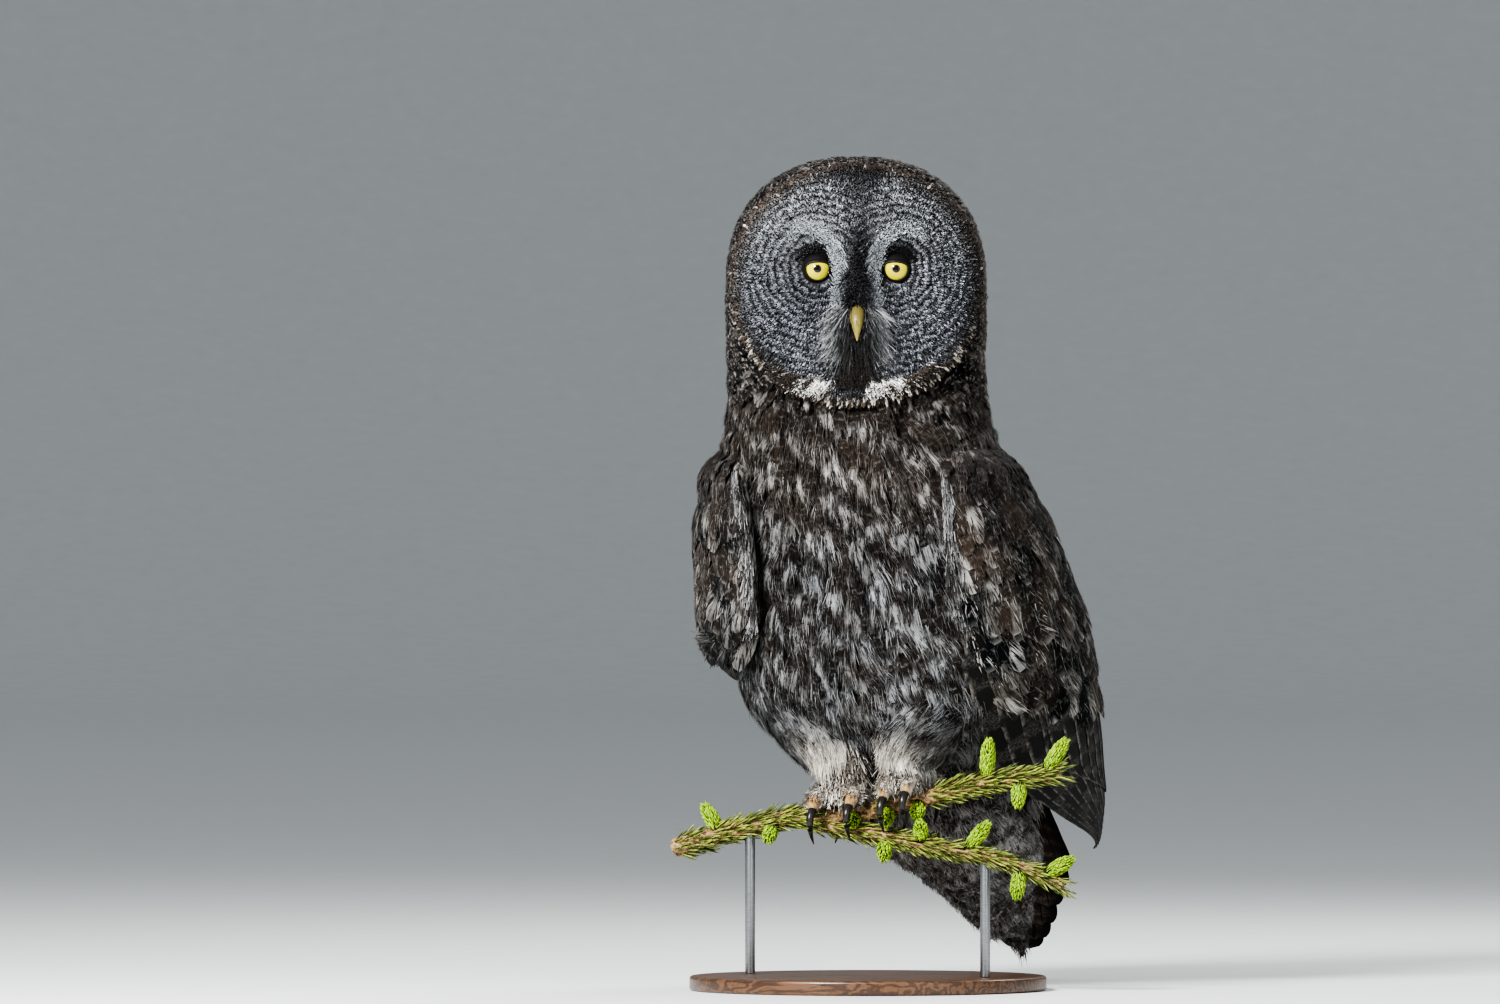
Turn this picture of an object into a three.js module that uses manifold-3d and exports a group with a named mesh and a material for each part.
// A great grey owl, life size, standing on a short cut length of forked spruce branch that a
// plain display stand holds up. Millimetres, +Z up. The owl's body faces -Y and its left side
// is at +X. The origin is the centre of the underside of the stand's base.
import * as THREE from "three";
import { mergeVertices } from "three/addons/utils/BufferGeometryUtils.js";
import Module from "manifold-3d";

const wasm = await Module();
wasm.setup();

// Driving dimensions
const CROWN_ABOVE_PERCH = 461;
const HEAD_HALF_WIDTH = 91.5;
const HEAD_TURN = THREE.MathUtils.degToRad(25); // the head looks to the owl's left
const EYE_ABOVE_PERCH = 381;
const EYE_SPACING = 54.6;
const EYE_RADIUS = 11.5;
const TAIL_TIP_BELOW_PERCH = 103;
const TAIL_HALF_WIDTH = 60;
const PERCH_RADIUS = 6;
const PERCH_HEIGHT = 122; // the branch's centre line under the owl, above the floor
const BASE_RADIUS = 125;
const BASE_THICKNESS = 10;
const ROD_RADIUS = 3.5;
const GAP = 0.3; // between pieces that touch
const FINEST = 0.05; // details smaller than this are merged

const V = (x, y, z) => new THREE.Vector3(x, y, z);
const raised = (points) => points.map((p) => V(p.x, p.y, p.z + PERCH_HEIGHT));
const owl = new THREE.Group();

const FINISH = {
  plumage: { color: 0x5d5751, roughness: 0.9 },
  disc: { color: 0x74757a, roughness: 0.9 },
  flight: { color: 0x3a322c, roughness: 0.75 },
  leg: { color: 0x8f867b, roughness: 0.9 },
  claw: { color: 0x16151a, roughness: 0.3 },
  bill: { color: 0xc9a24a, roughness: 0.4 },
  eye: { color: 0xe9cf3a, roughness: 0.1 },
  bark: { color: 0x6b7a35, roughness: 0.85 },
  wood: { color: 0x33241a, roughness: 0.45 },
  steel: { color: 0x8d9094, roughness: 0.35, metalness: 1 },
};

// Solids and meshes

function solid(geometry) {
  const bare = geometry.clone();
  bare.deleteAttribute("normal");
  bare.deleteAttribute("uv");
  const merged = mergeVertices(bare, 1e-4);
  const vertProperties = merged.attributes.position.array;
  const triVerts = new Uint32Array(merged.index.array);
  const made = new wasm.Manifold(new wasm.Mesh({ numProp: 3, vertProperties, triVerts }));
  if (made.volume() > 0) return made;
  for (let i = 0; i < triVerts.length; i += 3) {
    [triVerts[i + 1], triVerts[i + 2]] = [triVerts[i + 2], triVerts[i + 1]];
  }
  return new wasm.Manifold(new wasm.Mesh({ numProp: 3, vertProperties, triVerts }));
}

// The largest body of a solid, which drops the slivers that a cut leaves.
function largest(shape) {
  const bodies = shape.decompose();
  return bodies.reduce((best, body) => (body.volume() > best.volume() ? body : best));
}

function geometryOf(shape) {
  const { numProp, vertProperties, triVerts } = shape.getMesh();
  const count = vertProperties.length / numProp;
  const position = new Float32Array(count * 3);
  for (let i = 0; i < count; i++) {
    position.set(vertProperties.subarray(i * numProp, i * numProp + 3), i * 3);
  }
  return new THREE.BufferGeometry()
    .setAttribute("position", new THREE.BufferAttribute(position, 3))
    .setIndex(new THREE.BufferAttribute(triVerts, 1));
}

function add(name, finish, shape) {
  const mesh = new THREE.Mesh(
    geometryOf(largest(shape.simplify(FINEST))),
    new THREE.MeshStandardMaterial(FINISH[finish]),
  );
  mesh.name = name;
  owl.add(mesh);
}

// A closed surface through rings of points, with one point closing each end.
function through(rings, first, last) {
  const count = rings[0].length;
  const points = [first, ...rings.flat(), last];
  const at = (ring, side) => 1 + ring * count + (side % count);
  const index = [];
  for (let side = 0; side < count; side++) {
    index.push(0, at(0, side + 1), at(0, side));
    for (let ring = 0; ring + 1 < rings.length; ring++) {
      index.push(at(ring, side), at(ring, side + 1), at(ring + 1, side + 1));
      index.push(at(ring, side), at(ring + 1, side + 1), at(ring + 1, side));
    }
    index.push(points.length - 1, at(rings.length - 1, side), at(rings.length - 1, side + 1));
  }
  return solid(new THREE.BufferGeometry().setFromPoints(points).setIndex(index));
}

// A value between named stations: a Catmull-Rom curve through values, for t from 0 to 1.
function between(values, t) {
  const last = values.length - 1;
  const i = Math.min(Math.floor(t * last), last - 1);
  const f = t * last - i;
  const [a, b, c, d] = [i - 1, i, i + 1, i + 2].map((k) => values[THREE.MathUtils.clamp(k, 0, last)]);
  return b + 0.5 * f * (c - a + f * (2 * a - 5 * b + 4 * c - d + f * (3 * (b - c) + d - a)));
}

const steps = (count) => Array.from({ length: count + 1 }, (_, i) => i / count);

// A round limb along a curve. Its radius is taken from radii, squash flattens it up and down,
// and its two ends are rounded off.
function limb(points, radii, { sides = 10, rings = 8, squash = 1, grow = 0 } = {}) {
  const curve = new THREE.CatmullRomCurve3(points);
  const all = [];
  for (const t of steps(rings)) {
    const along = curve.getTangentAt(t);
    const across = V(0, 0, 1).cross(along);
    if (across.length() < 0.2) across.set(1, 0, 0);
    across.normalize();
    const up = along.clone().cross(across);
    const radius = between(radii, t) + grow;
    const centre = curve.getPointAt(t);
    all.push(
      steps(sides)
        .slice(1)
        .map((s) =>
          centre
            .clone()
            .addScaledVector(across, radius * Math.cos(2 * Math.PI * s))
            .addScaledVector(up, radius * squash * Math.sin(2 * Math.PI * s)),
        ),
    );
  }
  const end = (t, way) =>
    curve
      .getPointAt(t)
      .addScaledVector(curve.getTangentAt(t), way * (0.5 * (between(radii, t) + grow) + 0.2));
  return through(all, end(0, -1), end(1, 1));
}

function box(low, high) {
  const size = high.clone().sub(low);
  const centre = low.clone().add(high).multiplyScalar(0.5);
  return solid(new THREE.BoxGeometry(...size).translate(...centre));
}

// Head, neck and trunk are one shape, from the tip of the under-tail feathers to the crown.
// Each station: height above the perch, the centre line's y, half width, depth in front of
// the centre line, depth behind it, and how much of the head's turn it shares.
const STATIONS = [
  { name: "under_tail_tip", z: -92, y: 226, half: 9, front: 10, back: 8, turn: 0 },
  { name: "under_tail", z: -76, y: 208, half: 22, front: 25, back: 20, turn: 0 },
  { name: "vent", z: -56, y: 186, half: 33, front: 38, back: 34, turn: 0 },
  { name: "crissum", z: -28, y: 154, half: 54, front: 66, back: 58, turn: 0 },
  { name: "groin", z: 2, y: 125, half: 63, front: 80, back: 78, turn: 0 },
  { name: "lower_belly", z: 32, y: 100, half: 79, front: 93, back: 92, turn: 0 },
  { name: "belly", z: 57, y: 80, half: 98, front: 104, back: 102, turn: 0 },
  { name: "flank", z: 88, y: 56, half: 113, front: 107, back: 112, turn: 0 },
  { name: "side", z: 126, y: 36, half: 114, front: 103, back: 112, turn: 0 },
  { name: "breast", z: 165, y: 20, half: 113, front: 96, back: 106, turn: 0 },
  { name: "upper_breast", z: 204, y: 6, half: 110, front: 90, back: 100, turn: 0.05 },
  { name: "shoulder", z: 240, y: -6, half: 105, front: 85, back: 92, turn: 0.2 },
  { name: "throat", z: 268, y: -13, half: 97, front: 80, back: 85, turn: 0.5 },
  { name: "neck", z: 292, y: -17, half: 92, front: 77, back: 82, turn: 0.85 },
  { name: "chin", z: 318, y: -20, half: 90.5, front: 75, back: 81, turn: 1 },
  { name: "bill", z: 345, y: -20, half: 91, front: 74, back: 81, turn: 1 },
  { name: "eyes", z: 370, y: -20, half: HEAD_HALF_WIDTH, front: 73, back: 81, turn: 1 },
];
const HEAD_AXIS = V(0, -20, 0);
const DOME_BASE = 370;
const DOME_HEIGHT = CROWN_ABOVE_PERCH - DOME_BASE;
const TRUNK_RINGS = 17;
const DOME_RINGS = 7;
const SIDES = 30;

// The disc's outline, seen square on, and its middle.
const DISC = { half: 84, high: 79, z: 372 };
const bump = (distance, width) => Math.exp(-((distance / width) ** 2));

// How far the face stands out from the smooth head at a place seen square on.
function relief(x, z) {
  const rim = Math.hypot(x / DISC.half, (z - DISC.z) / DISC.high);
  const eye = Math.hypot(Math.abs(x) - EYE_SPACING / 2, z - EYE_ABOVE_PERCH);
  return (
    3 * bump(rim - 1, 0.09) -
    8 * bump(eye, 24) +
    5 * bump(x, 9) * bump(z - 385, 38) +
    9 * bump(x, 20) * bump(z - 350, 22) +
    4 * bump(x, 34) * bump(z - 314, 16)
  );
}

function bodyRing(z, y, half, front, back, turn, grow) {
  return steps(SIDES)
    .slice(1)
    .map((s) => {
      const angle = 2 * Math.PI * s - 0.3 * Math.sin(2 * Math.PI * s); // closer in front
      const [ahead, aside] = [Math.cos(angle), Math.sin(angle)];
      const power = ahead > 0 ? 1 - 0.18 * turn : 1; // the face is flatter than an ellipse
      const px = (half + grow) * Math.sign(aside) * Math.abs(aside) ** power;
      const depth = ahead > 0 ? front : back;
      let py = -(depth + grow) * Math.sign(ahead) * Math.abs(ahead) ** power;
      if (ahead > 0) py -= turn * ahead * relief(px, z);
      const [c, sn] = [Math.cos(turn * HEAD_TURN), Math.sin(turn * HEAD_TURN)];
      return V(px * c - py * sn, y + px * sn + py * c, PERCH_HEIGHT + z);
    });
}

function bodyShape(grow = 0) {
  const rings = steps(TRUNK_RINGS).map((t) => {
    const at = (key) => between(STATIONS.map((station) => station[key]), t);
    return bodyRing(at("z"), at("y"), at("half"), at("front"), at("back"), at("turn"), grow);
  });
  const eyes = STATIONS.at(-1);
  for (const t of steps(DOME_RINGS).slice(1, -1)) {
    const high = 1 - (1 - t) ** 1.5; // the rings close up towards the crown
    const wide = (1 - high ** 2.3) ** (1 / 2.3);
    const deep = (1 - high ** 2.15) ** (1 / 2.15);
    const z = DOME_BASE + DOME_HEIGHT * high;
    rings.push(
      bodyRing(z, eyes.y, eyes.half * wide, eyes.front * deep, eyes.back * deep, 1, grow),
    );
  }
  const tip = STATIONS[0];
  return through(
    rings,
    V(0, tip.y + 2, PERCH_HEIGHT + tip.z - 8 - grow),
    V(0, HEAD_AXIS.y, PERCH_HEIGHT + CROWN_ABOVE_PERCH + grow),
  );
}

// A place in the head's own directions: across to the owl's left, back, and up from the perch.
function onHead(across, back, z) {
  const [c, s] = [Math.cos(HEAD_TURN), Math.sin(HEAD_TURN)];
  return V(across * c - back * s, HEAD_AXIS.y + across * s + back * c, PERCH_HEIGHT + z);
}

// Eyes

const EYE_DEPTH = -56; // the eye's centre, back from the head's axis
const eyeCentre = (side) => onHead((side * EYE_SPACING) / 2, EYE_DEPTH, EYE_ABOVE_PERCH);

function eyeShape(side, grow = 0) {
  const centre = eyeCentre(side);
  return solid(new THREE.SphereGeometry(EYE_RADIUS + grow, 12, 7).translate(...centre));
}

// Bill: a short hook that curves down out of the feathers

function billUpper(grow = 0) {
  const ridge = [onHead(0, -67, 359), onHead(0, -82, 354), onHead(0, -91, 344), onHead(0, -90.5, 331)];
  return limb(ridge, [5, 6.2, 4.6, 0.9], { sides: 8, rings: 7, grow });
}

function billLower(grow = 0) {
  const keel = [onHead(0, -67, 345), onHead(0, -79, 341), onHead(0, -85, 335)];
  return limb(keel, [4.6, 3.6, 1.1], { sides: 8, rings: 5, grow });
}

// Wings: folded along the flanks, from the shoulder to the tips of the primaries. Each section
// is an arc around the body: the arc's middle y, its half width and depth, where it starts
// (degrees round from straight ahead, for the left and the right wing) and ends, and its
// thickness. The right wing is held a little further forward, with its tip tucked up.
const WING = [
  { z: 266, y: -14, half: 92, deep: 82, left: 72, right: 62, end: 124, thick: 14 },
  { z: 248, y: -10, half: 112, deep: 104, left: 56, right: 40, end: 138, thick: 28 },
  { z: 222, y: 1, half: 123, deep: 117, left: 51, right: 29, end: 146, thick: 34 },
  { z: 190, y: 15, half: 131, deep: 124, left: 47, right: 25, end: 151, thick: 36 },
  { z: 160, y: 30, half: 136, deep: 129, left: 44, right: 25, end: 154, thick: 36 },
  { z: 130, y: 46, half: 137, deep: 133, left: 45, right: 29, end: 157, thick: 35 },
  { z: 108, y: 59, half: 135, deep: 134, left: 46, right: 60, end: 159, thick: 33 },
  { z: 88, y: 72, half: 133, deep: 133, left: 47, right: 98, end: 160, thick: 31 },
  { z: 58, y: 95, half: 128, deep: 127, left: 47, right: 106, end: 160, thick: 27 },
  { z: 32, y: 118, half: 121, deep: 118, left: 49, right: 111, end: 158, thick: 23 },
  { z: 10, y: 144, half: 113, deep: 106, left: 60, right: 117, end: 153, thick: 18 },
  { z: -10, y: 174, half: 101, deep: 87, left: 80, right: 124, end: 149, thick: 12 },
  { z: -30, y: 214, half: 84, deep: 60, left: 118, right: 130, end: 144, thick: 5 },
];
const WING_RINGS = 14;
const WING_HALF_SIDES = 7;

function wingShape(name, side, grow = 0) {
  const rings = steps(WING_RINGS).map((t) => {
    const at = (key) => between(WING.map((station) => station[key]), t);
    const [start, end] = [at(name), at("end")];
    const point = (s, inward) => {
      const angle = THREE.MathUtils.degToRad(start + (end - start) * s);
      const tuck = 10 * Math.max(0, 1 - s / 0.35) ** 2 + 6 * Math.max(0, (s - 0.7) / 0.3) ** 2;
      const depth = tuck + inward * at("thick") * Math.sqrt(4 * s * (1 - s)) - grow;
      return V(
        side * (at("half") - depth) * Math.sin(angle),
        at("y") - (at("deep") - depth) * Math.cos(angle),
        PERCH_HEIGHT + at("z"),
      );
    };
    const outer = steps(WING_HALF_SIDES).map((s) => point(s, 0));
    const inner = steps(WING_HALF_SIDES)
      .slice(1, -1)
      .map((s) => point(1 - s, 1));
    return [...outer, ...inner];
  });
  const middle = (ring, up) =>
    ring
      .reduce((sum, p) => sum.add(p), V(0, 0, 0))
      .divideScalar(ring.length)
      .add(V(0, 0, up));
  return through(rings, middle(rings[0], 4), middle(rings.at(-1), -3));
}

// Tail: twelve feathers held as one fan. The middle ones are the longest, so that it ends in
// a blunt wedge, and the whole fan bows a little.
const TAIL_LINE = [V(0, 140, 85), V(0, 205, 8), V(0, 246, -50), V(0, 270, -TAIL_TIP_BELOW_PERCH)];
const TAIL_WEDGE = [0.68, 0.78, 0.88, 0.96, 1, 0.92, 0.68, 0.42, 0.14]; // share of the half width
const TAIL_RINGS = 10;

function tailShape(grow = 0) {
  const line = new THREE.CatmullRomCurve3(raised(TAIL_LINE));
  const rings = steps(TAIL_RINGS).map((t) => {
    const reach = 1 - (1 - t) ** 1.2;
    const half = TAIL_HALF_WIDTH * between(TAIL_WEDGE, reach) + grow;
    const thick = 7 - 4.5 * reach + grow;
    const along = line.getTangentAt(reach);
    const behind = V(0, -along.z, along.y);
    const centre = line.getPointAt(reach);
    return steps(12)
      .slice(1)
      .map((s) => {
        const across = Math.cos(2 * Math.PI * s);
        const roof = -9 * ((across * half) / TAIL_HALF_WIDTH) ** 2; // the outer feathers lie lower
        return centre
          .clone()
          .add(V(half * across, 0, 0))
          .addScaledVector(behind, roof + thick * Math.sin(2 * Math.PI * s));
      });
  });
  return through(rings, line.getPointAt(0), line.getPointAt(1).add(V(0, 0.5, -1)));
}

// Branch: the stem under the feet, and a fork that leaves it below and to the owl's left
const STEM = [V(-152, 6, -24), V(-72, 1, -4), V(-18, 0, 0), V(28, 0, 9), V(92, -3, 24), V(146, 2, 31)];
const FORK = [V(-52, 1, -4), V(4, -1, -13), V(52, -5, -21), V(104, -6, -30), V(150, -2, -47)];
const STEM_RADII = [6.6, PERCH_RADIUS, PERCH_RADIUS, PERCH_RADIUS, 5.4, 4.6];
const FORK_RADII = [5, 5.2, 5, 4.6, 4];
const stemShape = (grow = 0) => limb(raised(STEM), STEM_RADII, { sides: 7, rings: 11, grow });
const forkShape = (grow = 0) => limb(raised(FORK), FORK_RADII, { sides: 7, rings: 8, grow });

// Young shoots on the branch: where along it, which way they lean, and their length
const STEM_SHOOTS = [
  { at: 0.1, lean: V(-0.5, -0.3, 1), long: 22 },
  { at: 0.2, lean: V(-0.2, -0.5, -1), long: 15 },
  { at: 0.8, lean: V(0.2, -0.3, 1), long: 30 },
  { at: 0.88, lean: V(0.1, -0.4, -1), long: 20 },
  { at: 0.94, lean: V(0.7, 0, 1), long: 28 },
];
const FORK_SHOOTS = [
  { at: 0.3, lean: V(0.2, -0.6, -1), long: 17 },
  { at: 0.46, lean: V(0.1, -0.6, 1), long: 17 },
  { at: 0.62, lean: V(0.9, -0.1, 1), long: 26 },
  { at: 0.82, lean: V(0.1, -0.5, -1), long: 22 },
  { at: 0.9, lean: V(1, 0, 0.55), long: 24 },
];
const SHOOT_RADIUS = 5;

function withShoots(stem, points, shoots, grow) {
  const curve = new THREE.CatmullRomCurve3(raised(points));
  return shoots.reduce((joined, { at, lean, long }) => {
    const root = curve.getPointAt(at);
    const tip = root.clone().addScaledVector(lean.clone().normalize(), long);
    const middle = root.clone().lerp(tip, 0.6);
    const radii = [2, SHOOT_RADIUS, SHOOT_RADIUS * 0.8];
    return joined.add(limb([root, middle, tip], radii, { sides: 5, rings: 2, grow }));
  }, stem);
}

// Legs. Each foot stands on the stem, two toes in front of it and two behind.
const LEGS = {
  left: { side: 1, x: 28, front: [21, 38], back: [18, 42] },
  right: { side: -1, x: -20, front: [-33, -5], back: [-34, -8] },
};
const stemCurve = new THREE.CatmullRomCurve3(STEM);
const stemAt = (x) => {
  const near = steps(200).map((t) => stemCurve.getPoint(t));
  return near.reduce((best, p) => (Math.abs(p.x - x) < Math.abs(best.x - x) ? p : best));
};

function thighShape(leg, grow = 0) {
  const path = [V(leg.side * 54, 30, 120), V(leg.side * 44, 6, 86), V(leg.x * 1.15, 0, 50)];
  return limb(raised(path), [28, 38, 24], { sides: 12, rings: 6, grow });
}

function shankShape(leg, grow = 0) {
  const top = stemAt(leg.x).z + PERCH_RADIUS;
  const path = [V(leg.x, 2, 58), V(leg.x, 1, (58 + top) / 2), V(leg.x, 0, top + 12)];
  return limb(raised(path), [21, 17.5, 17], { sides: 12, rings: 6, grow });
}

function footShape(leg, grow = 0) {
  const top = stemAt(leg.x).z + PERCH_RADIUS;
  const path = [V(leg.x, -10, top + 8), V(leg.x, 0, top + 10), V(leg.x, 10, top + 8)];
  return limb(raised(path), [12, 15, 12], { sides: 9, rings: 4, squash: 0.62, grow });
}

// A toe runs from the foot over the stem to one side of it. way is -1 in front, 1 behind.
function toePath(leg, x, way) {
  const { z } = stemAt(x);
  const top = z + PERCH_RADIUS;
  return [V(leg.x + (x - leg.x) * 0.35, way * 5, top + 9), V(x, way * 15, top + 7), V(x, way * 21, top - 1)];
}

function toeShape(leg, x, way, grow = 0) {
  return limb(raised(toePath(leg, x, way)), [8.5, 7.6, 5.8], { sides: 7, rings: 4, grow });
}

function clawShape(leg, x, way, grow = 0) {
  const end = toePath(leg, x, way).at(-1);
  const path = [
    end.clone().add(V(0, way * 1.5, 0)),
    end.clone().add(V(0, way * 4.5, -7)),
    end.clone().add(V(0, way * 3.5, -16)),
    end.clone().add(V(0, way * -2, -24)),
  ];
  return limb(raised(path), [3.1, 2.7, 1.9, 0.5], { sides: 5, rings: 5, grow });
}

// Stand

function baseShape() {
  const bevel = 2;
  const profile = [
    [0, 0],
    [BASE_RADIUS, 0],
    [BASE_RADIUS, BASE_THICKNESS - bevel],
    [BASE_RADIUS - bevel, BASE_THICKNESS],
    [0, BASE_THICKNESS],
  ].map(([r, z]) => new THREE.Vector2(r, z));
  return solid(new THREE.LatheGeometry(profile, 40).rotateX(Math.PI / 2));
}

function rodShape(x, y, top) {
  const bottom = BASE_THICKNESS + GAP;
  return solid(
    new THREE.CylinderGeometry(ROD_RADIUS, ROD_RADIUS, top - bottom, 12)
      .rotateX(Math.PI / 2)
      .translate(x, y, (top + bottom) / 2),
  );
}

// Placing the pieces: each is cut back from the ones before it, with the gap between
const FAR = 400;
const NECK_CUT = PERCH_HEIGHT + 297;
const TRUNK_CUT = PERCH_HEIGHT + 262;
const DISC_CUT = -47; // back from the head's axis
const WING_CUT = PERCH_HEIGHT + 124; // at y = 0; it climbs towards the back
const WING_CUT_SLOPE = 9; // degrees
const half = GAP / 2;
const taken = [];

function place(name, finish, shapeAt) {
  add(name, finish, taken.reduce((shape, other) => shape.subtract(other), shapeAt(0)));
  taken.push(shapeAt(GAP));
}

const above = (z) => box(V(-FAR, -FAR, z), V(FAR, FAR, FAR * 3));
const below = (z) => box(V(-FAR, -FAR, -FAR), V(FAR, FAR, z));
const slope = (shape) => shape.rotate([WING_CUT_SLOPE, 0, 0]).translate([0, 0, WING_CUT]);
const legs = Object.entries(LEGS);

place("eye_left", "eye", (grow) => eyeShape(1, grow));
place("eye_right", "eye", (grow) => eyeShape(-1, grow));
place("bill_upper", "bill", billUpper);
place("bill_lower", "bill", billLower);
for (const [name, leg] of legs) place(`thigh_${name}`, "leg", (grow) => thighShape(leg, grow));

// The disc is what lies in front of a plane across the head, inside the disc's outline.
function discCut(grow) {
  const round = new THREE.CylinderGeometry(1, 1, FAR, 32).translate(0, -FAR / 2, 0);
  round.scale(DISC.half + grow, 1, DISC.high + grow).rotateZ(HEAD_TURN);
  return solid(round.translate(...onHead(0, DISC_CUT + grow, DISC.z)));
}

const body = taken.reduce((shape, other) => shape.subtract(other), bodyShape());
const wholeHead = body.intersect(above(NECK_CUT + half));
add("trunk", "plumage", body.intersect(below(TRUNK_CUT - half)));
add("neck", "plumage", body.intersect(above(TRUNK_CUT + half)).intersect(below(NECK_CUT - half)));
add("facial_disc", "disc", wholeHead.intersect(discCut(-half)));
add("head", "plumage", wholeHead.subtract(discCut(half)));
taken.push(bodyShape(GAP));

place("perch_stem", "bark", (grow) => withShoots(stemShape(grow), STEM, STEM_SHOOTS, grow));
place("perch_fork", "bark", (grow) => withShoots(forkShape(grow), FORK, FORK_SHOOTS, grow));

for (const [name, leg] of legs) {
  const toes = [...leg.front.map((x) => [x, -1]), ...leg.back.map((x) => [x, 1])];
  place(`shank_${name}`, "leg", (grow) => shankShape(leg, grow));
  place(`foot_${name}`, "leg", (grow) => footShape(leg, grow));
  toes.forEach(([x, way], i) => {
    place(`toe_${name}_${i + 1}`, "leg", (grow) => toeShape(leg, x, way, grow));
  });
  toes.forEach(([x, way], i) => {
    place(`claw_${name}_${i + 1}`, "claw", (grow) => clawShape(leg, x, way, grow));
  });
}

place("tail", "flight", tailShape);
for (const [name, { side }] of legs) {
  const wing = taken.reduce((shape, other) => shape.subtract(other), wingShape(name, side));
  add(`wing_${name}_coverts`, "plumage", wing.intersect(slope(above(half))));
  add(`wing_${name}_flight`, "flight", wing.intersect(slope(below(-half))));
}

place("stand_base", "wood", baseShape);
const RODS = { left: V(92, -5, PERCH_HEIGHT - 26), right: V(-92, 2, PERCH_HEIGHT - 7) };
for (const [name, top] of Object.entries(RODS)) {
  place(`stand_rod_${name}`, "steel", () => rodShape(top.x, top.y, top.z));
}

export default owl;
